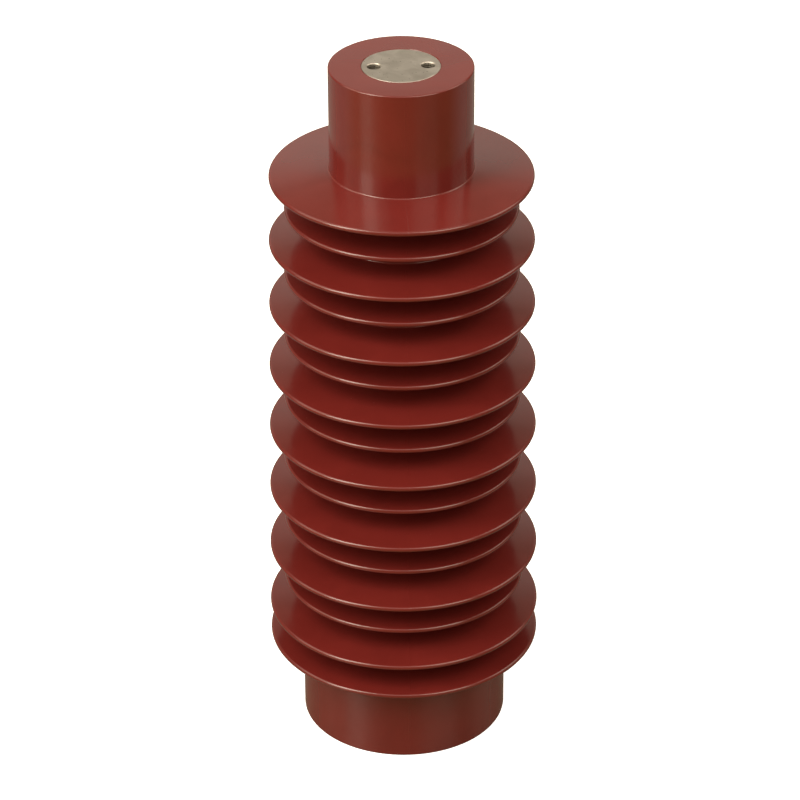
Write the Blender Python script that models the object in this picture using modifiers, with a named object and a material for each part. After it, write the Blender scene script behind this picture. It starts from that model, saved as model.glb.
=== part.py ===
"""Cast-resin post insulator for medium-voltage switchgear and lines, standing on its base.

One resin casting carries large and small rain sheds in turn. A plated brass insert with two tapped
holes is cast into its neck, and four hexagon bushes are cast into its base. Nothing on it moves.
Metres, +Z up, origin at the centre of the base plane.
"""

import math

import bpy

# ---------------------------------------------------------------- sheds
SHED_ORDER = "LsLsLsLsLsLsLsLL"  # from the neck down: L is a large shed and s is a small one
SHED_SPACING = 0.020  # from one rim to the next
LOWEST_RIM_HEIGHT = 0.055  # middle of the lowest rim above the base plane
LARGE_OVERHANG = 0.0341  # how far the top shed stands out from the neck
SMALL_OVERHANG = 0.0254
LARGE_GROWTH = 0.00035  # a shed's radius grows by this for each shed above it
SMALL_GROWTH = 0.00037
RIM_THICKNESS = 0.003
RIM_ROUND = 0.0011
MOST_RIM_ROUND = 0.45  # of the rim's thickness, so that both its edges fit
UPPER_SLOPE = math.radians(5)  # the upper face falls towards the rim and sheds the rain
UNDER_SLOPE = math.radians(2)  # the underside falls a little too, so that the rim drips
ROOT_FILLET = 0.0015  # where a shed meets the core

# ---------------------------------------------------------------- tapped holes in the neck, M8
NECK_HOLE_SPACING = 0.030
NECK_DRILL_RADIUS = 0.0034
NECK_MOUTH_CHAMFER = 0.0009
NECK_HOLE_DEPTH = 0.020

# ---------------------------------------------------------------- insert in the neck
NECK_INSERT_LAND = 0.0027  # metal left between a hole's mouth and the insert's edge
NECK_INSERT_EDGE = 0.0004
HOLE_TO_GROOVE = 0.006  # solid metal between the holes' ends and the first groove
GROOVE_COUNT = 2
GROOVE_WIDTH = 0.005
GROOVE_DEPTH = 0.0025
GROOVE_PITCH = 0.010
NECK_INSERT_NOSE = 0.006  # rounding of the buried end, which keeps the electric field low
NECK_FLAT_DEPTH = 0.0035  # two milled flats stop the insert from turning in the resin

# ---------------------------------------------------------------- neck, core and base
NECK_WALL = 0.0186  # resin round the insert
NECK_ABOVE_RIM = 0.0665  # from the middle of the top rim to the end of the neck
CORE_GROWTH = 0.00036  # the core widens by this from one shed to the next below it
BASE_WALL = 0.0096  # resin outside the corners of the bushes
END_EDGE_ROUND = 0.0012  # outer edges of the neck's and the base's end faces

# ---------------------------------------------------------------- bushes in the base, M12
BUSH_COUNT = 4
BUSH_CIRCLE = 0.076
BUSH_DRILL_RADIUS = 0.0051
BUSH_MOUTH_CHAMFER = 0.0013
BUSH_HOLE_DEPTH = 0.022
BUSH_SOLID_END = 0.008  # metal beyond the drilled depth
BUSH_LAND = 0.0031  # metal left between the hole's mouth and the collar's edge
BUSH_COLLAR_LENGTH = 0.003
BUSH_STEP = 0.0015  # from the collar out to the hexagon's flats
BUSH_WAIST_WALL = 0.0034
BUSH_WAIST_LENGTH = 0.006
BUSH_WAIST_DEPTH = 0.014  # from the bush's face to the middle of its waist

# ---------------------------------------------------------------- fits, tools and the mesh's fineness
CAST_GAP = 0.0003  # between an insert and the resin cast round it
DRILL_POINT = math.radians(59)  # half the angle of a drill's point
OVERRUN = 0.002  # how far a cutter runs past the face that it cuts through
RESIN_STEPS = 32
INSERT_STEPS = 32
BUSH_STEPS = 16
HOLE_STEPS = 16
NOSE_STEPS = 3
MERGE = 0.00001
SHARP_ANGLE = math.radians(35)  # an edge between faces that meet at more than this stays sharp

SHED_COUNT = len(SHED_ORDER)
TOP_RIM_HEIGHT = LOWEST_RIM_HEIGHT + (SHED_COUNT - 1) * SHED_SPACING
OVERALL_HEIGHT = TOP_RIM_HEIGHT + NECK_ABOVE_RIM
NECK_MOUTH_RADIUS = NECK_DRILL_RADIUS + NECK_MOUTH_CHAMFER
NECK_INSERT_RADIUS = NECK_HOLE_SPACING / 2 + NECK_MOUTH_RADIUS + NECK_INSERT_LAND
NECK_RADIUS = NECK_INSERT_RADIUS + NECK_WALL
FIRST_GROOVE_DEPTH = NECK_HOLE_DEPTH + HOLE_TO_GROOVE + GROOVE_WIDTH / 2
NECK_INSERT_LENGTH = FIRST_GROOVE_DEPTH + GROOVE_COUNT * GROOVE_PITCH
BUSH_MOUTH_RADIUS = BUSH_DRILL_RADIUS + BUSH_MOUTH_CHAMFER
BUSH_COLLAR_RADIUS = BUSH_MOUTH_RADIUS + BUSH_LAND
BUSH_WAIST_RADIUS = BUSH_DRILL_RADIUS + BUSH_WAIST_WALL
BUSH_CORNER_RADIUS = (BUSH_COLLAR_RADIUS + BUSH_STEP) / math.cos(math.pi / 6)
BUSH_LENGTH = BUSH_HOLE_DEPTH + BUSH_SOLID_END
BASE_RADIUS = BUSH_CIRCLE / 2 + BUSH_CORNER_RADIUS + BASE_WALL


# ================================================================ tools
def clear_scene():
    for old in list(bpy.data.objects):
        bpy.data.objects.remove(old)


def new_collection(name):
    made = bpy.data.collections.new(name)
    bpy.context.scene.collection.children.link(made)
    return made


def new_finish(name, colour, roughness, metallic):
    made = bpy.data.materials.new(name)
    made.use_nodes = True
    surface = made.node_tree.nodes["Principled BSDF"]
    surface.inputs["Base Color"].default_value = (*colour, 1)
    surface.inputs["Roughness"].default_value = roughness
    surface.inputs["Metallic"].default_value = metallic
    return made


def rounded(corners, steps=1):
    """The outline through corners (radius, height, rounding), a rounded one as an arc of so many steps."""
    points = []
    for place, (x, z, rounding) in enumerate(corners):
        if not rounding:
            points.append((x, z))
            continue
        before, after = corners[place - 1], corners[place + 1]
        back = math.atan2(before[1] - z, before[0] - x)
        ahead = math.atan2(after[1] - z, after[0] - x)
        half = math.remainder(ahead - back, math.tau) / 2
        middle = back + half
        centre_x = x + rounding / abs(math.sin(half)) * math.cos(middle)
        centre_z = z + rounding / abs(math.sin(half)) * math.sin(middle)
        turn = math.copysign(math.pi / 2 - abs(half), -half)
        for step in range(steps + 1):
            angle = middle + math.pi + turn * (2 * step / steps - 1)
            points.append((centre_x + rounding * math.cos(angle), centre_z + rounding * math.sin(angle)))
    return points


def turned(name, outline, steps, collection):
    """A turned solid: its outline runs down the outer side, from the axis at the top to the axis below."""
    mesh = bpy.data.meshes.new(name)
    links = [(i, i + 1) for i in range(len(outline) - 1)]
    mesh.from_pydata([(x, 0, z) for x, z in outline], links, [])
    made = bpy.data.objects.new(name, mesh)
    collection.objects.link(made)
    lathe = made.modifiers.new("Lathe", "SCREW")
    lathe.steps = steps
    lathe.render_steps = steps
    lathe.use_merge_vertices = True
    lathe.merge_threshold = MERGE
    return made


def move_to(piece, collection):
    for old in list(piece.users_collection):
        old.objects.unlink(piece)
    collection.objects.link(piece)


def as_cutter(piece):
    move_to(piece, cutters)
    piece.hide_render = True
    piece.display_type = "WIRE"
    return piece


def combine(target, operation, other):
    made = target.modifiers.new(operation.title() + " " + other.name, "BOOLEAN")
    made.operation = operation
    made.object = other


def sharp_edge_nodes():
    """Nodes that shade a mesh smooth, with an edge kept sharp where its faces meet at a steep angle."""
    tree = bpy.data.node_groups.new("Sharp edges", "GeometryNodeTree")
    tree.interface.new_socket("Geometry", in_out="INPUT", socket_type="NodeSocketGeometry")
    tree.interface.new_socket("Geometry", in_out="OUTPUT", socket_type="NodeSocketGeometry")
    source = tree.nodes.new("NodeGroupInput")
    all_smooth = tree.nodes.new("GeometryNodeSetShadeSmooth")
    all_smooth.domain = "FACE"
    angle = tree.nodes.new("GeometryNodeInputMeshEdgeAngle")
    steep = tree.nodes.new("FunctionNodeCompare")
    steep.inputs["B"].default_value = SHARP_ANGLE
    keep_sharp = tree.nodes.new("GeometryNodeSetShadeSmooth")
    keep_sharp.domain = "EDGE"
    keep_sharp.inputs["Shade Smooth"].default_value = False
    result = tree.nodes.new("NodeGroupOutput")
    tree.links.new(source.outputs["Geometry"], all_smooth.inputs["Geometry"])
    tree.links.new(angle.outputs["Unsigned Angle"], steep.inputs["A"])
    tree.links.new(all_smooth.outputs["Geometry"], keep_sharp.inputs["Geometry"])
    tree.links.new(steep.outputs["Result"], keep_sharp.inputs["Selection"])
    tree.links.new(keep_sharp.outputs["Geometry"], result.inputs["Geometry"])
    return tree


def finish_piece(piece, material):
    """Gives a piece its material and its smooth shading, after its cuts."""
    piece.data.materials.append(material)
    smooth = piece.modifiers.new("Sharp edges", "NODES")
    smooth.node_group = sharp_edges


def drilled_hole(name, drill_radius, mouth_radius, depth):
    """A cutter for a blind hole with a chamfered mouth at z = 0 and a drill point at its end."""
    mouth_depth = mouth_radius - drill_radius
    outline = [
        (0, OVERRUN),
        (mouth_radius + OVERRUN, OVERRUN),
        (drill_radius, -mouth_depth),
        (drill_radius, -depth),
        (0, -depth - drill_radius / math.tan(DRILL_POINT)),
    ]
    return as_cutter(turned(name, outline, HOLE_STEPS, cutters))


# ================================================================ insert in the neck
def neck_insert_form(name, grow, collection):
    """The insert's outside, its face at z = 0. With grow it is the space that the insert takes up."""
    radius = NECK_INSERT_RADIUS + grow
    groove_radius = radius - GROOVE_DEPTH
    half_groove = GROOVE_WIDTH / 2 - grow
    end = -NECK_INSERT_LENGTH - grow
    if grow:
        corners = [(0, OVERRUN, 0), (radius, OVERRUN, 0)]
    else:
        corners = [(0, 0, 0), (radius - NECK_INSERT_EDGE, 0, 0), (radius, -NECK_INSERT_EDGE, 0)]
    for groove in range(GROOVE_COUNT):
        middle = -FIRST_GROOVE_DEPTH - groove * GROOVE_PITCH
        corners += [
            (radius, middle + half_groove, 0),
            (groove_radius, middle + half_groove, 0),
            (groove_radius, middle - half_groove, 0),
            (radius, middle - half_groove, 0),
        ]
    corners += [(radius, end, NECK_INSERT_NOSE + grow), (0, end, 0)]
    form = turned(name, rounded(corners, NOSE_STEPS), INSERT_STEPS, collection)
    shoulder = -NECK_HOLE_DEPTH - grow
    for side, side_name in ((-1, "front"), (1, "back")):
        flat_face = side * (radius - NECK_FLAT_DEPTH)
        bpy.ops.mesh.primitive_cube_add(size=2 * radius)
        mill = as_cutter(bpy.context.object)
        mill.name = name + "_flat_" + side_name
        mill.location = (0, flat_face + side * radius, shoulder - radius)
        mill.parent = form
        combine(form, "DIFFERENCE", mill)
    return form


def make_neck_insert(material):
    """Plated brass, turned, grooved and milled with two flats, with its two holes tapped into the face."""
    insert = neck_insert_form("neck_insert", 0, parts)
    insert.location = (0, 0, OVERALL_HEIGHT)
    for side, side_name in ((-1, "left"), (1, "right")):
        name = "neck_hole_" + side_name
        hole = drilled_hole(name, NECK_DRILL_RADIUS, NECK_MOUTH_RADIUS, NECK_HOLE_DEPTH)
        hole.location = (side * NECK_HOLE_SPACING / 2, 0, OVERALL_HEIGHT)
        combine(insert, "DIFFERENCE", hole)
    finish_piece(insert, material)


# ================================================================ bushes in the base
def bush_form(name, grow, collection):
    """A bush's outside, its face at z = 0. With grow it is the space that the bush takes up."""
    hexagon_radius = BUSH_CORNER_RADIUS + 2 * grow
    blank = hexagon_radius + OVERRUN
    collar = BUSH_COLLAR_RADIUS + grow
    waist = BUSH_WAIST_RADIUS + grow
    half_waist = BUSH_WAIST_LENGTH / 2 - grow
    length = BUSH_LENGTH + grow
    face = OVERRUN if grow else 0
    shoulder = -BUSH_COLLAR_LENGTH + grow
    outline = [
        (0, face),
        (collar, face),
        (collar, shoulder),
        (blank, shoulder),
        (blank, half_waist - BUSH_WAIST_DEPTH),
        (waist, half_waist - BUSH_WAIST_DEPTH),
        (waist, -half_waist - BUSH_WAIST_DEPTH),
        (blank, -half_waist - BUSH_WAIST_DEPTH),
        (blank, -length),
        (0, -length),
    ]
    form = turned(name, outline, BUSH_STEPS, collection)
    height = 2 * (length + OVERRUN)
    bpy.ops.mesh.primitive_cylinder_add(vertices=6, radius=hexagon_radius, depth=height)
    hexagon = as_cutter(bpy.context.object)
    hexagon.name = name + "_hexagon"
    hexagon.parent = form
    combine(form, "INTERSECT", hexagon)
    return form


def make_base_bushes(material):
    """Hexagon brass bushes on a circle, their tapped mouths flush with the base's underside."""
    for number in range(BUSH_COUNT):
        angle = math.tau * (number + 0.5) / BUSH_COUNT
        place = (BUSH_CIRCLE / 2 * math.cos(angle), BUSH_CIRCLE / 2 * math.sin(angle), 0)
        name = f"base_bush_{number + 1}"
        bush = bush_form(name, 0, parts)
        pocket = as_cutter(bush_form(name + "_pocket", CAST_GAP, cutters))
        hole = drilled_hole(name + "_hole", BUSH_DRILL_RADIUS, BUSH_MOUTH_RADIUS, BUSH_HOLE_DEPTH)
        for piece in (bush, pocket, hole):
            piece.location = place
            piece.rotation_euler = (math.pi, 0, angle)
        combine(bush, "DIFFERENCE", hole)
        finish_piece(bush, material)
        yield pocket


# ================================================================ the resin casting
def shed_radius(place):
    """The lowest shed repeats the size of the one above it."""
    steps_down = min(place, SHED_COUNT - 2)
    if SHED_ORDER[place] == "L":
        return NECK_RADIUS + LARGE_OVERHANG + LARGE_GROWTH * steps_down
    return NECK_RADIUS + SMALL_OVERHANG + SMALL_GROWTH * steps_down


def casting_outline():
    """Down the neck, out and in round each shed, and down the base."""
    rim_round = min(RIM_ROUND, MOST_RIM_ROUND * RIM_THICKNESS)
    corners = [(0, OVERALL_HEIGHT, 0), (NECK_RADIUS, OVERALL_HEIGHT, END_EDGE_ROUND)]
    for place in range(SHED_COUNT):
        rim_middle = TOP_RIM_HEIGHT - place * SHED_SPACING
        rim_top = rim_middle + RIM_THICKNESS / 2
        rim_foot = rim_middle - RIM_THICKNESS / 2
        outer = shed_radius(place)
        above = NECK_RADIUS + CORE_GROWTH * max(place - 0.5, 0)
        below = NECK_RADIUS + CORE_GROWTH * (place + 0.5)
        if place == SHED_COUNT - 1:
            below = BASE_RADIUS
        corners += [
            (above, rim_top + (outer - above) * math.tan(UPPER_SLOPE), ROOT_FILLET),
            (outer, rim_top, rim_round),
            (outer, rim_foot, rim_round),
            (below, rim_foot + (outer - below) * math.tan(UNDER_SLOPE), ROOT_FILLET),
        ]
    corners += [(BASE_RADIUS, 0, END_EDGE_ROUND), (0, 0, 0)]
    return rounded(corners)


def make_resin_casting(material, bush_pockets):
    """Filled epoxy resin, cast in one piece round the inserts and then freed from its two-part mould."""
    casting = turned("resin_casting", casting_outline(), RESIN_STEPS, parts)
    insert_pocket = as_cutter(neck_insert_form("neck_insert_pocket", CAST_GAP, cutters))
    insert_pocket.location = (0, 0, OVERALL_HEIGHT)
    for pocket in (insert_pocket, *bush_pockets):
        combine(casting, "DIFFERENCE", pocket)
    finish_piece(casting, material)


clear_scene()
parts = new_collection("post_insulator")
cutters = new_collection("cutters")
sharp_edges = sharp_edge_nodes()

red_resin = new_finish("red_brown_resin", (0.19, 0.028, 0.018), 0.18, 0)
plated_brass = new_finish("plated_brass", (0.60, 0.55, 0.48), 0.38, 1)

make_neck_insert(plated_brass)
make_resin_casting(red_resin, list(make_base_bushes(plated_brass)))
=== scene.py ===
"""A post insulator cast in red-brown epoxy, with a tapped insert in its neck and bushes in its base."""

import math

import bmesh
import bpy
from mathutils import Matrix, Vector


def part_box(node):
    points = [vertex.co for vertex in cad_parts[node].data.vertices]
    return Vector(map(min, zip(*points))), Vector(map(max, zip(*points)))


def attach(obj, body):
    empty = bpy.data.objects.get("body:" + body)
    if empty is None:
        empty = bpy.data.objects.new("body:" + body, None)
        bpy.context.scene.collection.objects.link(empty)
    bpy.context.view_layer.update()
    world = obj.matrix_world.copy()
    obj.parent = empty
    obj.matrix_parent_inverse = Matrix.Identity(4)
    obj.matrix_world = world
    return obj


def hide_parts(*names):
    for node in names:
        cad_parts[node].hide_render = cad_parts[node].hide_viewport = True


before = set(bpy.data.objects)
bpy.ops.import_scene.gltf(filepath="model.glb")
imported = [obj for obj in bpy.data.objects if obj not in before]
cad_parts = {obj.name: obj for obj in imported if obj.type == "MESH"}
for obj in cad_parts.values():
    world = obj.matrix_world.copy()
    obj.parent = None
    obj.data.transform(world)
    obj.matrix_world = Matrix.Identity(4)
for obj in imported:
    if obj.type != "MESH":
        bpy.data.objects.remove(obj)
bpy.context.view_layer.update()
scene = bpy.context.scene
MM = 0.001


# ==== Insert in the neck ==============================================================================
# A turned brass stud, nickel plated, that the resin is poured round. Grooves and milled flats lock it in.
# Its face is flush with the end of the neck and has two tapped M8 holes for the terminal.

insert_low, insert_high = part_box("neck_insert")
INSERT_RADIUS = insert_high.x
INSERT_LENGTH = insert_high.z - insert_low.z
INSERT_EDGE = 0.45 * MM
INSERT_NOSE = 6 * MM
FLAT_DEPTH = 3.5 * MM
FLAT_TOP = 20 * MM
GROOVE_DEPTH = 2.5 * MM
GROOVE_WIDTH = 5 * MM
GROOVE_MIDDLES = (28.5 * MM, 38.5 * MM)
GROOVE_ROUND = 0.4 * MM
HOLE_SPACING = 30 * MM
M8_HOLE = {
    "Thread Radius": 4.05 * MM,
    "Drill Radius": 3.4 * MM,
    "Mouth Radius": 4.3 * MM,
    "Pitch": 1.25 * MM,
    "Thread Depth": 17 * MM,
    "Drilled Depth": 20 * MM,
}
HOLE_ROWS = 200
HOLE_COLUMNS = 48
FLANK_CONTRAST = (1.3, 0.15)  # a gain over 1 leaves the crest and the root of the thread flat
DRILL_POINT_ANGLE = math.radians(31)  # from level, as a drill with a point of 118 degrees leaves it
OVERRUN = 2 * MM  # how far a cutting tool runs past the face
CAST_GAP = 0.04 * MM  # the hairline between metal and resin
POCKET_FLARE = 0.3 * MM  # the resin draws back a little from the insert's edge
MERGE_DISTANCE = 0.002 * MM
SHARP_ANGLE = math.radians(40)


class Value:
    """A number in a node tree. Arithmetic on it adds Math nodes to that tree."""

    def __init__(self, tree, socket):
        self.tree = tree
        self.socket = socket

    def math(self, operation, *others):
        node = self.tree.nodes.new("ShaderNodeMath")
        node.operation = operation
        for place, number in enumerate((self, *others)):
            feed(self.tree, number, node.inputs[place])
        return Value(self.tree, node.outputs[0])

    def __add__(self, other):
        return self.math("ADD", other)

    def __sub__(self, other):
        return self.math("SUBTRACT", other)

    def __mul__(self, other):
        return self.math("MULTIPLY", other)

    def __truediv__(self, other):
        return self.math("DIVIDE", other)

    def __rsub__(self, other):
        return self.math("MULTIPLY_ADD", -1, other)

    __radd__ = __add__

    def between(self, low, high):
        return self.math("MAXIMUM", low).math("MINIMUM", high)

    def contrast(self, gain, drop):
        """Spreads a narrow range over all that lies between 0 and 1."""
        return (self * gain - drop).between(0, 1)

    def over(self, limit):
        return self.math("GREATER_THAN", limit)

    def under(self, limit):
        return self.math("LESS_THAN", limit)


def feed(tree, source, socket):
    """Links a socket to a value or to an output, or sets it to a plain number."""
    if isinstance(source, Value):
        source = source.socket
    if isinstance(source, bpy.types.NodeSocket):
        tree.links.new(source, socket)
    else:
        socket.default_value = source


def add_node(tree, kind, inputs=None, **settings):
    """A new node with its settings made and its inputs fed, each input given by name or by place."""
    node = tree.nodes.new(kind)
    for name, setting in settings.items():
        setattr(node, name, setting)
    for name, source in (inputs or {}).items():
        feed(tree, source, node.inputs[name])
    return node


def new_group(name, kind, inputs, outputs):
    """A node group with named sockets: the tree, its inputs as values, and its output node."""
    tree = bpy.data.node_groups.new(name, kind)
    for title, (socket_kind, default) in inputs.items():
        socket = tree.interface.new_socket(title, in_out="INPUT", socket_type="NodeSocket" + socket_kind)
        if default is not None:
            socket.default_value = default
    for title, socket_kind in outputs.items():
        tree.interface.new_socket(title, in_out="OUTPUT", socket_type="NodeSocket" + socket_kind)
    source = tree.nodes.new("NodeGroupInput")
    given = {title: Value(tree, source.outputs[title]) for title in inputs}
    return tree, given, tree.nodes.new("NodeGroupOutput")


def split(tree, vector):
    """The three parts of a vector as values."""
    parts = add_node(tree, "ShaderNodeSeparateXYZ", {0: vector})
    return [Value(tree, part) for part in parts.outputs]


def place_by(tree, geometry, x, y, z):
    """Moves each point of the geometry to x, y and z."""
    place = add_node(tree, "ShaderNodeCombineXYZ", {"X": x, "Y": y, "Z": z})
    inputs = {"Geometry": geometry, "Position": place.outputs[0]}
    return add_node(tree, "GeometryNodeSetPosition", inputs).outputs[0]


def grid_to_turn(tree, rows, columns):
    """A flat grid that is to be bent round the axis, and each point's row and column."""
    inputs = {"Size X": rows - 1, "Size Y": columns, "Vertices X": rows, "Vertices Y": columns + 1}
    grid = add_node(tree, "GeometryNodeMeshGrid", inputs)
    x, y, _ = split(tree, add_node(tree, "GeometryNodeInputPosition").outputs[0])
    row = (x + (rows - 1) / 2).math("ROUND")
    column = (y + columns / 2).math("ROUND")
    return grid.outputs["Mesh"], row, column


def finish_tree(tree, geometry, material, result):
    """Merges the seam and the poles, realises the piece, and gives it its material."""
    inputs = {"Geometry": geometry, "Distance": MERGE_DISTANCE}
    merged = add_node(tree, "GeometryNodeMergeByDistance", inputs)
    real = add_node(tree, "GeometryNodeRealizeInstances", {"Geometry": merged.outputs[0]})
    inputs = {"Geometry": real.outputs[0], "Material": material}
    finished = add_node(tree, "GeometryNodeSetMaterial", inputs)
    feed(tree, finished.outputs[0], result.inputs[0])


def lathe_nodes():
    """Rounds each corner of an outline by its attribute "round" and turns the outline about the Z axis.

    Crowding draws the columns together at the front and the back, where a mould's joint needs them.
    """
    inputs = {
        "Outline": ("Geometry", None),
        "Columns": ("Int", 128),
        "Corner Steps": ("Int", 4),
        "Crowding": ("Float", 0.0),
        "Material": ("Material", None),
    }
    tree, given, result = new_group("Lathe", "GeometryNodeTree", inputs, {"Piece": "Geometry"})
    rounding = add_node(tree, "GeometryNodeInputNamedAttribute", {"Name": "round"}, data_type="FLOAT")
    curve = add_node(tree, "GeometryNodeMeshToCurve", {"Mesh": given["Outline"]})
    inputs = {
        "Curve": curve.outputs[0],
        "Radius": rounding.outputs["Attribute"],
        "Count": given["Corner Steps"],
        "Limit Radius": True,
    }
    outline = add_node(tree, "GeometryNodeFilletCurve", inputs, mode="POLY").outputs[0]
    size = add_node(tree, "GeometryNodeAttributeDomainSize", {"Geometry": outline}, component="CURVE")
    rows = Value(tree, size.outputs["Point Count"])
    grid, row, column = grid_to_turn(tree, rows, given["Columns"])
    position = add_node(tree, "GeometryNodeInputPosition").outputs[0]
    inputs = {"Geometry": outline, "Value": position, "Index": row}
    sample = add_node(tree, "GeometryNodeSampleIndex", inputs, data_type="FLOAT_VECTOR", domain="POINT")
    radius, _, z = split(tree, sample.outputs[0])
    turn = column * math.tau / given["Columns"]
    angle = turn + given["Crowding"] * (turn * 2).math("SINE")
    turned = place_by(tree, grid, radius * angle.math("COSINE"), radius * angle.math("SINE"), z)
    finish_tree(tree, turned, given["Material"], result)
    return tree


def tapped_hole_nodes():
    """A tapped blind hole under a face at z = 0, as a solid: mouth, thread, bare end and drill point.

    The first two rows stand above the face, and the first and the last row close the solid on its axis.
    """
    inputs = {"Nothing": ("Geometry", None)}
    for title, size in M8_HOLE.items():
        inputs[title] = ("Float", size)
    inputs["Rows"] = ("Int", HOLE_ROWS)
    inputs["Columns"] = ("Int", HOLE_COLUMNS)
    inputs["Material"] = ("Material", None)
    tree, given, result = new_group("Tapped hole", "GeometryNodeTree", inputs, {"Hole": "Geometry"})
    grid, row, column = grid_to_turn(tree, given["Rows"], given["Columns"])
    share = ((row - 2) / (given["Rows"] - 4)).between(0, 1)
    depth = share * given["Drilled Depth"]
    turn = column / given["Columns"]
    phase = (depth / given["Pitch"] + turn).math("FRACT")
    flank = (phase * 2 - 1).math("ABSOLUTE").contrast(*FLANK_CONTRAST)
    runout = ((given["Thread Depth"] - depth) / given["Pitch"]).between(0, 1)
    groove = (given["Thread Radius"] - given["Drill Radius"]) * flank * runout
    above_face = row.under(1.5) * OVERRUN
    chamfer = given["Mouth Radius"] - depth + above_face
    wall = (given["Drill Radius"] + groove).math("MAXIMUM", chamfer)
    at_point = row.over(given["Rows"] - 1.5)
    radius = wall * (1 - row.under(0.5) - at_point)
    drill_point = at_point * given["Drill Radius"] * math.tan(DRILL_POINT_ANGLE)
    angle = turn * math.tau
    x = radius * angle.math("COSINE")
    y = radius * angle.math("SINE")
    hole = place_by(tree, grid, x, y, above_face - depth - drill_point)
    finish_tree(tree, hole, given["Material"], result)
    return tree


lathe = lathe_nodes()
tapped_hole = tapped_hole_nodes()


def new_piece(name, mesh):
    """A new object in the scene."""
    piece = bpy.data.objects.new(name, mesh)
    scene.collection.objects.link(piece)
    return piece


def outline(name, corners):
    """A line of corners, each (radius, height, rounding), that runs down the side of a turned piece."""
    mesh = bpy.data.meshes.new(name)
    links = [(place, place + 1) for place in range(len(corners) - 1)]
    mesh.from_pydata([(radius, 0, height) for radius, height, _ in corners], links, [])
    rounding = mesh.attributes.new("round", "FLOAT", "POINT")
    rounding.data.foreach_set("value", [corner[2] for corner in corners])
    return new_piece(name, mesh)


def add_tree(piece, tree, sizes):
    """Puts a node tree on a piece and sets its inputs by their names."""
    modifier = piece.modifiers.new(tree.name, "NODES")
    modifier.node_group = tree
    for socket in tree.interface.items_tree:
        if socket.in_out == "INPUT" and socket.name in sizes:
            modifier[socket.identifier] = sizes[socket.name]


def combine(piece, tool, operation="DIFFERENCE"):
    """Cuts the tool out of the piece, or keeps what lies in both."""
    modifier = piece.modifiers.new(tool.name, "BOOLEAN")
    modifier.operation = operation
    modifier.object = tool
    modifier.solver = "MANIFOLD"


def box_tool(name, low, high):
    """A plain box for cutting."""
    mesh = bpy.data.meshes.new(name)
    form = bmesh.new()
    bmesh.ops.create_cube(form, size=1)
    centre = (Vector(low) + Vector(high)) / 2
    form.transform(Matrix.Translation(centre) @ Matrix.Diagonal((*(Vector(high) - Vector(low)), 1)))
    form.to_mesh(mesh)
    form.free()
    return new_piece(name, mesh)


def hole_tool(name, sizes, x=0.0):
    """A tapped hole for cutting, with its mouth at z = 0."""
    tool = new_piece(name, bpy.data.meshes.new(name))
    add_tree(tool, tapped_hole, sizes)
    tool.location.x = x
    return tool


def settle(piece, place=None):
    """Makes the piece one plain mesh, and moves that to its place."""
    scene.view_layers[0].update()
    graph = bpy.context.evaluated_depsgraph_get()
    piece.data = bpy.data.meshes.new_from_object(piece.evaluated_get(graph))
    piece.modifiers.clear()
    if place:
        piece.data.transform(place)


def finish_piece(piece, material, place=None):
    """Settles the piece in its place, smooth where it is round and sharp at its edges.

    The faces that a tool has cut take the piece's own material.
    """
    settle(piece, place)
    piece.data.shade_smooth()
    piece.data.set_sharp_from_angle(angle=SHARP_ANGLE)
    even = piece.modifiers.new("Even normals", "WEIGHTED_NORMAL")
    even.keep_sharp = True
    settle(piece)
    piece.data.materials.clear()
    piece.data.materials.append(material)
    piece.data.polygons.foreach_set("material_index", [0] * len(piece.data.polygons))


def remove_tools(*tools):
    for tool in tools:
        bpy.data.objects.remove(tool)


SCRATCH_TURNS = (0.4, 1.9)
SCRATCH_TILT = 0.3
SCRATCH_THINNING = 14.0  # how many times a scratch is longer than it is wide
SCRATCH_LEVEL = 0.68
SCRATCH_CONTRAST = 18


def noise(tree, inputs, **settings):
    """The value of a noise texture, which lies between 0 and 1."""
    return Value(tree, add_node(tree, "ShaderNodeTexNoise", inputs, **settings).outputs[0])


def surface_marks_nodes():
    """Marks of making and handling: cloudy blotches, short scratches, and specks. Scales are per metre."""
    inputs = {
        "Blotch Scale": ("Float", 60.0),
        "Scratch Scale": ("Float", 90.0),
        "Scratch Share": ("Float", 0.3),
        "Speck Scale": ("Float", 250.0),
        "Speck Size": ("Float", 0.12),
    }
    outputs = {"Blotch": "Float", "Scratch": "Float", "Speck": "Float"}
    tree, given, result = new_group("Surface marks", "ShaderNodeTree", inputs, outputs)
    place = add_node(tree, "ShaderNodeTexCoord").outputs["Object"]
    inputs = {"Vector": place, "Scale": given["Blotch Scale"], "Detail": 4.0, "Distortion": 0.7}
    feed(tree, noise(tree, inputs), result.inputs["Blotch"])
    scratches = []
    for turn in SCRATCH_TURNS:
        inputs = {
            "Vector": place,
            "Rotation": (SCRATCH_TILT, turn, turn),
            "Scale": (1.0, SCRATCH_THINNING, SCRATCH_THINNING),
        }
        stretched = add_node(tree, "ShaderNodeMapping", inputs)
        inputs = {"Vector": stretched.outputs[0], "Scale": given["Scratch Scale"], "Detail": 2.0}
        streak = noise(tree, inputs)
        scratches.append(((streak - SCRATCH_LEVEL) * SCRATCH_CONTRAST).between(0, 1))
    scratch = (scratches[0] + scratches[1]).between(0, 1) * given["Scratch Share"]
    feed(tree, scratch, result.inputs["Scratch"])
    inputs = {"Vector": place, "Scale": given["Speck Scale"]}
    cells = add_node(tree, "ShaderNodeTexVoronoi", inputs)
    reach = Value(tree, add_node(tree, "ShaderNodeSeparateColor", {0: cells.outputs["Color"]}).outputs[0])
    speck = (reach.math("POWER", 3) * given["Speck Size"]).over(cells.outputs["Distance"])
    feed(tree, speck, result.inputs["Speck"])
    return tree


surface_marks = surface_marks_nodes()


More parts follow.
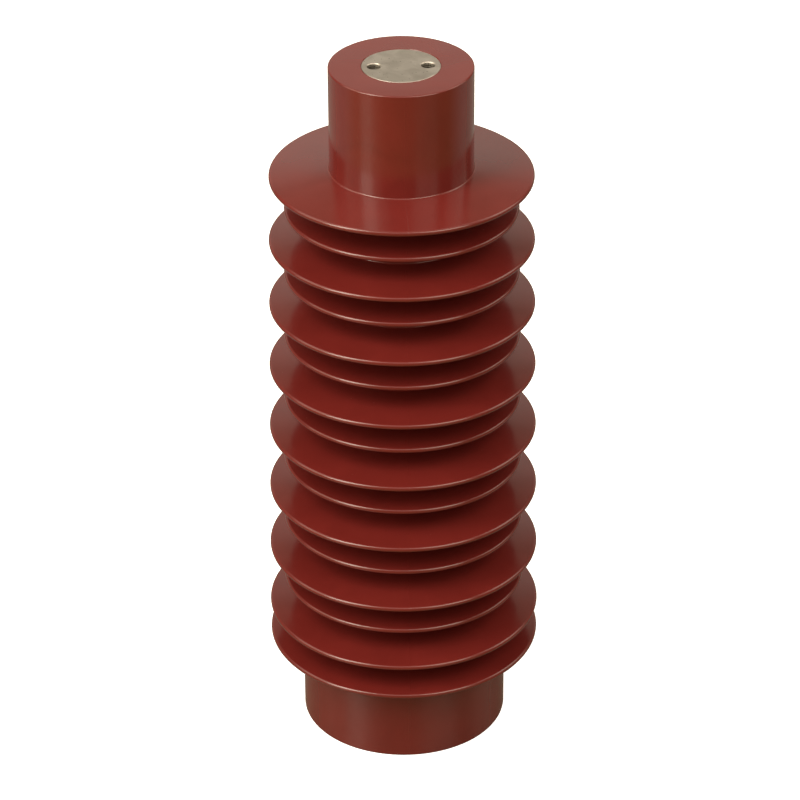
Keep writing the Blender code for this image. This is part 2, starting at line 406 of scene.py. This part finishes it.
def new_material(name):
    """A material with its tree and its Principled surface."""
    material = bpy.data.materials.new(name)
    material.use_nodes = True
    return material, material.node_tree, material.node_tree.nodes["Principled BSDF"]


def marks_of(tree, sizes):
    """The blotches, scratches and specks of one material, in its own sizes."""
    marks = add_node(tree, "ShaderNodeGroup", sizes, node_tree=surface_marks)
    return [Value(tree, marks.outputs[mark]) for mark in ("Blotch", "Scratch", "Speck")]


COLOUR_PLACES = (6, 7)  # a Mix node's two colour inputs


def colour_mix(tree, share, first, second):
    """Mixes two colours by a share. Each colour is red, green and blue, or an output."""
    mix = add_node(tree, "ShaderNodeMix", {"Factor": share}, data_type="RGBA")
    for place, colour in zip(COLOUR_PLACES, (first, second)):
        if isinstance(colour, tuple):
            colour = (*colour, 1)
        feed(tree, colour, mix.inputs[place])
    return mix.outputs[2]


def raise_surface(tree, surface, height):
    """Gives a surface its small heights, in metres."""
    bump = add_node(tree, "ShaderNodeBump", {"Height": height, "Distance": 1.0})
    feed(tree, bump.outputs[0], surface.inputs["Normal"])


PLATE_DULL = (0.505, 0.445, 0.40)
PLATE_BRIGHT = (0.655, 0.59, 0.545)
PLATE_STAIN = (0.16, 0.12, 0.085)
# Painted shade: the dark colour the threads take deep in each tapped hole
THREAD_SHADE = (0.12, 0.104, 0.088)
SHADE_DEPTH = 0.9 * MM  # the painted shade reaches its full strength this far down a hole
PLATE_CONTRAST = (2.6, 0.8)
PLATE_ROUGHNESS = 0.30
RING_SCALE = 5200.0  # turning rings per metre
RING_HEIGHT = 0.0011 * MM
PLATE_SCRATCH_DEPTH = 0.002 * MM
BLOTCH_HEIGHT = 0.02 * MM
PLATE_MARKS = {
    "Blotch Scale": 110,
    "Scratch Scale": 160,
    "Scratch Share": 0.5,
    "Speck Scale": 500,
    "Speck Size": 0.25,
}


def plated_brass(name, face, down):
    """Dull nickel plate over brass, faced in the lathe. Its rings lie round the middle of the face.

    Down is -1 or 1, the way along Z that leads into the metal, where the threads are painted darker as
    shade.
    """
    material, tree, surface = new_material(name)
    blotch, scratch, speck = marks_of(tree, PLATE_MARKS)
    place = add_node(tree, "ShaderNodeTexCoord").outputs["Object"]
    inputs = {"Vector": place, "Location": -face}
    x, y, z = split(tree, add_node(tree, "ShaderNodeMapping", inputs).outputs[0])
    radius = (x * x + y * y).math("SQRT")
    ring = noise(tree, {"W": radius, "Scale": RING_SCALE}, noise_dimensions="1D")
    # Painted shade: the colour darkens down each tapped hole, and the roughness rises there too
    hole_shade = (z * down / SHADE_DEPTH).between(0, 1)
    plate = colour_mix(tree, blotch.contrast(*PLATE_CONTRAST), PLATE_DULL, PLATE_BRIGHT)
    stained = colour_mix(tree, speck * 0.5, plate, PLATE_STAIN)
    feed(tree, colour_mix(tree, hole_shade, stained, THREAD_SHADE), surface.inputs["Base Color"])
    surface.inputs["Metallic"].default_value = 1
    roughness = PLATE_ROUGHNESS + blotch * 0.16 + ring * 0.06 + scratch * 0.1 + hole_shade * 0.1
    feed(tree, roughness, surface.inputs["Roughness"])
    raised = (ring - 0.5) * RING_HEIGHT + blotch * BLOTCH_HEIGHT
    raise_surface(tree, surface, raised - scratch * PLATE_SCRATCH_DEPTH)
    return material


def insert_form(name, grow, material=None):
    """The insert with its face at z = 0. With grow it is the space that it takes up in the resin."""
    radius = INSERT_RADIUS + grow
    if grow:
        mouth = radius + POCKET_FLARE + OVERRUN
        corners = [(0, OVERRUN, 0), (mouth, OVERRUN, 0), (radius, -POCKET_FLARE, 0)]
    else:
        corners = [(0, 0, 0), (radius, 0, INSERT_EDGE)]
    half_groove = GROOVE_WIDTH / 2 - grow
    for middle in GROOVE_MIDDLES:
        corners += [
            (radius, half_groove - middle, GROOVE_ROUND),
            (radius - GROOVE_DEPTH, half_groove - middle, GROOVE_ROUND),
            (radius - GROOVE_DEPTH, -half_groove - middle, GROOVE_ROUND),
            (radius, -half_groove - middle, GROOVE_ROUND),
        ]
    end = -INSERT_LENGTH - grow
    corners += [(radius, end, INSERT_NOSE + grow), (0, end, 0)]
    form = outline(name, corners)
    add_tree(form, lathe, {"Columns": 160, "Corner Steps": 6, "Material": material})
    flats = []
    for side in (-1, 1):
        near, far = side * (radius - FLAT_DEPTH), side * 2 * radius
        low = (-radius, min(near, far), end - OVERRUN)
        high = (radius, max(near, far), -FLAT_TOP - grow)
        flat = box_tool(f"{name}_flat", low, high)
        combine(form, flat)
        flats.append(flat)
    return form, flats


insert_axis = Vector((0, 0, insert_high.z))
insert_plate = plated_brass("Nickel plate, neck insert", insert_axis, -1)
insert_body, insert_flats = insert_form("insert_body", 0, insert_plate)
insert_holes = [hole_tool("insert_hole", M8_HOLE, side * HOLE_SPACING / 2) for side in (-1, 1)]
for hole in insert_holes:
    combine(insert_body, hole)
finish_piece(insert_body, insert_plate, Matrix.Translation(insert_axis))
remove_tools(*insert_flats, *insert_holes)
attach(insert_body, "root")
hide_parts("neck_insert")


# ==== Bushes in the base ==============================================================================
# Cut from hexagon bar, plated as the insert is, and tapped M12 for the screws that hold the post down.
# A round collar lies flush with the underside, and a turned waist keeps each bush from pulling out.

COLLAR_RADIUS = 9.5 * MM
COLLAR_LENGTH = 3 * MM
WAIST_RADIUS = 8.5 * MM
WAIST_LENGTH = 6 * MM
WAIST_MIDDLE = 14 * MM
BUSH_FLATS = 22 * MM
BUSH_EDGE = 0.4 * MM
M12_HOLE = {
    "Thread Radius": 6.07 * MM,
    "Drill Radius": 5.1 * MM,
    "Mouth Radius": 6.4 * MM,
    "Pitch": 1.75 * MM,
    "Thread Depth": 19 * MM,
    "Drilled Depth": 22 * MM,
}
bush_names = sorted(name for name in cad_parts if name.startswith("base_bush"))


def bush_form(name, length, grow, material=None):
    """A bush with its face at z = 0. With grow it is the space that it takes up in the resin."""
    bar_radius = BUSH_FLATS / math.sqrt(3) + 2 * grow
    turned = bar_radius + OVERRUN
    collar, collar_length = COLLAR_RADIUS + grow, COLLAR_LENGTH - grow
    waist, half_waist = WAIST_RADIUS + grow, WAIST_LENGTH / 2 - grow
    face = OVERRUN if grow else 0
    corners = [
        (0, face, 0),
        (collar, face, 0 if grow else BUSH_EDGE),
        (collar, -collar_length, BUSH_EDGE),
        (turned, -collar_length, 0),
        (turned, half_waist - WAIST_MIDDLE, 0),
        (waist, half_waist - WAIST_MIDDLE, BUSH_EDGE),
        (waist, -half_waist - WAIST_MIDDLE, BUSH_EDGE),
        (turned, -half_waist - WAIST_MIDDLE, 0),
        (turned, -length - grow, 0),
        (0, -length - grow, 0),
    ]
    form = outline(name, corners)
    add_tree(form, lathe, {"Columns": 96, "Corner Steps": 3, "Material": material})
    mesh = bpy.data.meshes.new(name + "_bar")
    bar = bmesh.new()
    depth = 2 * (length + OVERRUN)
    hexagon = {"segments": 6, "radius1": bar_radius, "radius2": bar_radius, "depth": depth}
    bmesh.ops.create_cone(bar, cap_ends=True, **hexagon)
    upright = [edge for edge in bar.edges if abs(edge.verts[0].co.z - edge.verts[1].co.z) > length]
    bmesh.ops.bevel(bar, geom=upright, offset=BUSH_EDGE, segments=3, profile=0.5, affect="EDGES")
    bar.to_mesh(mesh)
    bar.free()
    bar_tool = new_piece(name + "_bar", mesh)
    combine(form, bar_tool, "INTERSECT")
    return form, bar_tool


bush_pockets = []
for number, node in enumerate(bush_names):
    bush_low, bush_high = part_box(node)
    foot = Vector(((bush_low.x + bush_high.x) / 2, (bush_low.y + bush_high.y) / 2, bush_low.z))
    bush_length = bush_high.z - bush_low.z
    upside_down = Matrix.Rotation(math.atan2(foot.y, foot.x), 4, "Z") @ Matrix.Rotation(math.pi, 4, "X")
    place = Matrix.Translation(foot) @ upside_down
    plate = plated_brass(f"Nickel plate, bush {number + 1}", foot, 1)
    bush, bar_tool = bush_form(f"bush_{number + 1}", bush_length, 0, plate)
    bush_hole = hole_tool("bush_hole", M12_HOLE)
    combine(bush, bush_hole)
    finish_piece(bush, plate, place)
    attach(bush, "root")
    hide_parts(node)
    pocket, pocket_bar = bush_form(f"bush_pocket_{number + 1}", bush_length, CAST_GAP)
    settle(pocket, place)
    bush_pockets.append(pocket)
    remove_tools(bar_tool, bush_hole, pocket_bar)


# ==== Resin casting ===================================================================================
# Filled epoxy, coloured through with iron oxide, poured round the metal in a steel mould of two halves.
# It is one body: neck, core, sheds and base. The mould's joint leaves a fine ridge down front and back.

_, casting_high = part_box("resin_casting")
RIDGE_HEIGHT = 0.07 * MM
SHED_COUNT = 16
LARGE_GROWTH = 0.35 * MM  # a large shed's radius grows by this for each shed above it, to the last but one
LARGEST_RADIUS = casting_high.x - RIDGE_HEIGHT
CASTING_SIZES = {
    "Sheds": SHED_COUNT,
    "Spacing": 20 * MM,
    "Top Rim": 355 * MM,
    "Height": casting_high.z,
    "Neck Radius": 40.6 * MM,
    "Core Growth": 0.36 * MM,
    "Large Radius": LARGEST_RADIUS - (SHED_COUNT - 2) * LARGE_GROWTH,
    "Small Radius": 66 * MM,
    "Large Growth": LARGE_GROWTH,
    "Small Growth": 0.37 * MM,
    "Rim Thickness": 3.0 * MM,
    "Upper Rise": math.tan(math.radians(5)),
    "Under Rise": math.tan(math.radians(2)),
    "Base Radius": 60.3 * MM,
    "Rim Round": 1.4 * MM,
    "Root Round": 1.0 * MM,
    "End Round": 0.8 * MM,
}
CASTING_TURNING = {"Columns": 240, "Corner Steps": 4, "Crowding": 0.475}
RIDGE_SIZES = {
    "Ridge Height": RIDGE_HEIGHT,
    "Ridge Width": 0.22 * MM,
    "Highest": casting_high.z,
    "End Margin": 0.5 * MM,
}
RIDGE_CONTRAST = (2.2, 0.45)
LEAST_RIDGE = 0.15  # of the ridge's height, where it is faintest


def pick(tree, index, choices):
    """One of the choices, by a whole number."""
    switch = add_node(tree, "GeometryNodeIndexSwitch", data_type="FLOAT")
    while len(switch.index_switch_items) < len(choices):
        switch.index_switch_items.new()
    feed(tree, index, switch.inputs[0])
    for place, choice in enumerate(choices):
        feed(tree, choice, switch.inputs[place + 1])
    return Value(tree, switch.outputs[0])


def shed_stack_nodes():
    """The casting's outline: down the neck, out over and back under each shed, and down the base.

    Each shed has four corners. Small ones stand between large ones, and the lowest is large.
    """
    inputs = {"Nothing": ("Geometry", None)}
    for title, size in CASTING_SIZES.items():
        inputs[title] = ("Int" if title == "Sheds" else "Float", size)
    tree, given, result = new_group("Shed stack", "GeometryNodeTree", inputs, {"Outline": "Geometry"})
    corner_count = given["Sheds"] * 4 + 4
    line = add_node(tree, "GeometryNodeMeshLine", {"Count": corner_count})
    index = Value(tree, add_node(tree, "GeometryNodeInputIndex").outputs[0])
    shed = ((index - 2) / 4).math("FLOOR").between(0, given["Sheds"] - 1)
    corner = (index - 2 - shed * 4).between(0, 3)
    lowest = shed.over(given["Sheds"] - 1.5)
    small = shed.math("MODULO", 2) * (1 - lowest)
    growing = shed.math("MINIMUM", given["Sheds"] - 2)
    large_radius = given["Large Radius"] + given["Large Growth"] * growing
    small_radius = given["Small Radius"] + given["Small Growth"] * growing
    outer = large_radius + (small_radius - large_radius) * small
    above = given["Neck Radius"] + given["Core Growth"] * (shed - 0.5).math("MAXIMUM", 0)
    core_below = given["Neck Radius"] + given["Core Growth"] * (shed + 0.5)
    below = core_below + (given["Base Radius"] - core_below) * lowest
    rim_top = given["Top Rim"] - shed * given["Spacing"] + given["Rim Thickness"] / 2
    rim_foot = rim_top - given["Rim Thickness"]
    top_root = rim_top + (outer - above) * given["Upper Rise"]
    under_root = rim_foot + (outer - below) * given["Under Rise"]
    shed_x = pick(tree, corner, [above, outer, outer, below])
    shed_z = pick(tree, corner, [top_root, rim_top, rim_foot, under_root])
    root, rim, end = given["Root Round"], given["Rim Round"], given["End Round"]
    shed_round = pick(tree, corner, [root, rim, rim, root])
    part = index.over(1.5) + index.over(corner_count - 2.5)
    neck_x = index * given["Neck Radius"]
    base_x = (corner_count - 1 - index) * given["Base Radius"]
    x = pick(tree, part, [neck_x, shed_x, base_x])
    z = pick(tree, part, [given["Height"], shed_z, 0.0])
    rounding = pick(tree, part, [end, shed_round, end])
    shaped = place_by(tree, line.outputs[0], x, 0.0, z)
    inputs = {"Geometry": shaped, "Name": "round", "Value": rounding}
    stored = add_node(tree, "GeometryNodeStoreNamedAttribute", inputs, data_type="FLOAT", domain="POINT")
    feed(tree, stored.outputs[0], result.inputs[0])
    return tree


def parting_ridge_nodes():
    """Raises the surface a little along the mould's joint, patchily, almost as far as the two end faces."""
    inputs = {"Piece": ("Geometry", None)}
    for title, size in RIDGE_SIZES.items():
        inputs[title] = ("Float", size)
    inputs["Material"] = ("Material", None)
    tree, given, result = new_group("Parting ridge", "GeometryNodeTree", inputs, {"Piece": "Geometry"})
    position = add_node(tree, "GeometryNodeInputPosition").outputs[0]
    x, _, z = split(tree, position)
    across = x / given["Ridge Width"]
    swell = (across * across * -1).math("EXPONENT")
    patches = noise(tree, {"Vector": position, "Scale": 170.0, "Detail": 2.0})
    patchy = patches.contrast(*RIDGE_CONTRAST).math("MAXIMUM", LEAST_RIDGE)
    within = z.over(given["End Margin"]) * z.under(given["Highest"] - given["End Margin"])
    rise = swell * patchy * within * given["Ridge Height"]
    normal = add_node(tree, "GeometryNodeInputNormal").outputs[0]
    offset = add_node(tree, "ShaderNodeVectorMath", {0: normal, "Scale": rise}, operation="SCALE")
    inputs = {"Geometry": given["Piece"], "Offset": offset.outputs[0]}
    moved = add_node(tree, "GeometryNodeSetPosition", inputs)
    finish_tree(tree, moved.outputs[0], given["Material"], result)
    return tree


RESIN_DARK = (0.124, 0.0128, 0.0108)
RESIN_LIGHT = (0.143, 0.0150, 0.0126)
RESIN_DUST = (0.36, 0.16, 0.12)
CLOUD_CONTRAST = (2.4, 0.7)
RESIN_ROUGHNESS = 0.17
RESIN_IOR = 1.57
WAVE_HEIGHT = 0.16 * MM
PEEL_HEIGHT = 0.0012 * MM
RESIN_SCRATCH_DEPTH = 0.0015 * MM
RESIN_MARKS = {
    "Blotch Scale": 38,
    "Scratch Scale": 70,
    "Scratch Share": 0.35,
    "Speck Scale": 160,
    "Speck Size": 0.05,
}


def red_resin():
    """Oxide-red epoxy with a moulded gloss: faint clouds of filler, slight waves, and marks of handling."""
    material, tree, surface = new_material("Oxide-red epoxy")
    blotch, scratch, speck = marks_of(tree, RESIN_MARKS)
    clouds = blotch.contrast(*CLOUD_CONTRAST)
    body = colour_mix(tree, clouds, RESIN_DARK, RESIN_LIGHT)
    dusted = colour_mix(tree, speck * 0.25, body, RESIN_DUST)
    feed(tree, dusted, surface.inputs["Base Color"])
    feed(tree, RESIN_ROUGHNESS + clouds * 0.03 + scratch * 0.12, surface.inputs["Roughness"])
    surface.inputs["IOR"].default_value = RESIN_IOR
    place = add_node(tree, "ShaderNodeTexCoord").outputs["Object"]
    waves = noise(tree, {"Vector": place, "Scale": 26.0, "Detail": 1.0})
    peel = noise(tree, {"Vector": place, "Scale": 620.0, "Detail": 2.0})
    raised = waves * WAVE_HEIGHT + peel * PEEL_HEIGHT
    raise_surface(tree, surface, raised - scratch * RESIN_SCRATCH_DEPTH)
    return material


resin = red_resin()
casting = new_piece("casting", bpy.data.meshes.new("casting"))
add_tree(casting, shed_stack_nodes(), CASTING_SIZES)
add_tree(casting, lathe, CASTING_TURNING)
add_tree(casting, parting_ridge_nodes(), {"Material": resin, **RIDGE_SIZES})
insert_pocket, pocket_flats = insert_form("insert_pocket", CAST_GAP)
settle(insert_pocket, Matrix.Translation(insert_axis))
for pocket in (insert_pocket, *bush_pockets):
    combine(casting, pocket)
finish_piece(casting, resin)
remove_tools(insert_pocket, *pocket_flats, *bush_pockets)
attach(casting, "root")
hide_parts("resin_casting")


# ==== Floor, light and camera =========================================================================
# The post stands on a pale floor, lit by soft panels overhead, behind it and to both sides. The floor and
# the backdrop look white, but throw only a little warm light back at the post.

FLOOR_SIZE = 40.0
FLOOR_GAP = 0.1 * MM
FLOOR_ROUGHNESS = 0.32
FLOOR_SEEN = (0.9, 0.9, 0.9)
FLOOR_IN_FRONT = (0.140, 0.108, 0.036)
FLOOR_BEHIND = (0.22, 0.22, 0.22)
FLOOR_CHANGE = 2.5  # per metre, from the colour in front of the post to the colour behind it
FLOOR_GLOW = 0.75
UNDERSIDE_REACH = 1.0 * MM  # the floor lets through what comes from the underside, so that it can be seen
BACKDROP_SEEN = (1.0, 1.0, 1.0)
BACKDROP_LIGHT = (1.0, 0.91, 0.63)
BACKDROP_STRENGTH = 0.25
floor_mesh = bpy.data.meshes.new("floor")
half = FLOOR_SIZE / 2
corners = [(x, y, -FLOOR_GAP) for x, y in ((-half, -half), (half, -half), (half, half), (-half, half))]
floor_mesh.from_pydata(corners, [], [(0, 1, 2, 3)])
floor = new_piece("floor", floor_mesh)
floor_paint, floor_tree, floor_surface = new_material("Pale floor")
floor_surface.inputs["Roughness"].default_value = FLOOR_ROUGHNESS
ray = add_node(floor_tree, "ShaderNodeLightPath")
seen = Value(floor_tree, ray.outputs["Is Camera Ray"])
_, ahead, _ = split(floor_tree, add_node(floor_tree, "ShaderNodeTexCoord").outputs["Object"])
behind = (ahead * FLOOR_CHANGE + 0.5).between(0, 1)
sheet = colour_mix(floor_tree, behind, FLOOR_IN_FRONT, FLOOR_BEHIND)
paint = colour_mix(floor_tree, seen, sheet, FLOOR_SEEN)
feed(floor_tree, paint, floor_surface.inputs["Base Color"])
floor_surface.inputs["Emission Color"].default_value = (1, 1, 1, 1)
feed(floor_tree, seen * FLOOR_GLOW, floor_surface.inputs["Emission Strength"])
clear = add_node(floor_tree, "ShaderNodeBsdfTransparent")
backface = add_node(floor_tree, "ShaderNodeNewGeometry").outputs["Backfacing"]
open_share = Value(floor_tree, ray.outputs["Ray Length"]).under(UNDERSIDE_REACH).math("MAXIMUM", backface)
sides = {0: open_share, 1: floor_surface.outputs[0], 2: clear.outputs[0]}
one_sided = add_node(floor_tree, "ShaderNodeMixShader", sides)
feed(floor_tree, one_sided.outputs[0], floor_tree.nodes["Material Output"].inputs["Surface"])
floor.data.materials.append(floor_paint)

studio = bpy.data.worlds.new("Studio")
scene.world = studio
studio.use_nodes = True
studio_tree = studio.node_tree
backdrop = studio_tree.nodes["Background"]
seen = Value(studio_tree, add_node(studio_tree, "ShaderNodeLightPath").outputs["Is Camera Ray"])
backdrop_colour = colour_mix(studio_tree, seen, BACKDROP_LIGHT, BACKDROP_SEEN)
feed(studio_tree, backdrop_colour, backdrop.inputs["Color"])
backdrop_strength = seen * (1 - BACKDROP_STRENGTH) + BACKDROP_STRENGTH
feed(studio_tree, backdrop_strength, backdrop.inputs["Strength"])

PANEL_DISTANCE = 3.0
PANEL_TARGET = Vector((0, 0, 0.25))


def soft_panel(name, turn, tilt, width, height, radiance, colour):
    """A soft light that faces the sheds. Its direction and its size are all angles in degrees.

    The turn is to the right from the camera's side, and the tilt is up from level.
    """
    turn, tilt = math.radians(turn), math.radians(tilt)
    away = Vector((math.sin(turn) * math.cos(tilt), -math.cos(turn) * math.cos(tilt), math.sin(tilt)))
    light = bpy.data.lights.new(name, "AREA")
    light.shape = "RECTANGLE"
    light.size = 2 * PANEL_DISTANCE * math.tan(math.radians(width / 2))
    light.size_y = 2 * PANEL_DISTANCE * math.tan(math.radians(height / 2))
    light.energy = radiance * math.pi * light.size * light.size_y
    light.color = colour
    panel = bpy.data.objects.new(name, light)
    scene.collection.objects.link(panel)
    panel.location = PANEL_TARGET + away * PANEL_DISTANCE
    panel.rotation_euler = away.to_track_quat("Z", "Y").to_euler()
    panel.visible_camera = False


# Name, turn, tilt, width, height, radiance and colour
soft_panel("key_panel", -58, 38, 20, 56, 6.8, (1.0, 0.93, 0.78))
soft_panel("left_panel", -68, 35, 64, 46, 2.0, (1.0, 0.93, 0.70))
soft_panel("right_panel", 37, 38, 34, 44, 2.8, (1.0, 0.91, 0.72))
soft_panel("side_panel", 100, 36, 34, 34, 2.0, (1.0, 0.93, 0.74))
soft_panel("front_panel", -5, 54, 90, 26, 1.65, (1.0, 0.95, 0.82))
soft_panel("rear_panel", 180, 64, 90, 24, 1.0, (1.0, 0.95, 0.84))
soft_panel("back_panel", 180, 22, 80, 14, 0.56, (1.0, 0.95, 0.88))

LENS_LENGTH = 161.6  # in millimetres, as the sensor's width is
SENSOR_WIDTH = 36
CAMERA_DISTANCE = 1.806
CAMERA_HEIGHT = 1.2472
CAMERA_SHIFT = -0.0016
LOOK_DOWN = math.radians(29.89)
ROLL = math.radians(-0.322)
ORBIT = math.radians(-2.6)  # the camera stands a little to the left of the front
camera_lens = bpy.data.cameras.new("camera")
camera_lens.lens = LENS_LENGTH
camera_lens.sensor_width = SENSOR_WIDTH
camera_lens.clip_end = 100
camera = bpy.data.objects.new("camera", camera_lens)
scene.collection.objects.link(camera)
upright = Matrix.Translation((CAMERA_SHIFT, -CAMERA_DISTANCE, CAMERA_HEIGHT))
aimed = upright @ Matrix.Rotation(math.pi / 2 - LOOK_DOWN, 4, "X") @ Matrix.Rotation(ROLL, 4, "Z")
camera.matrix_world = Matrix.Rotation(ORBIT, 4, "Z") @ aimed
scene.camera = camera
scene.view_settings.view_transform = "Standard"
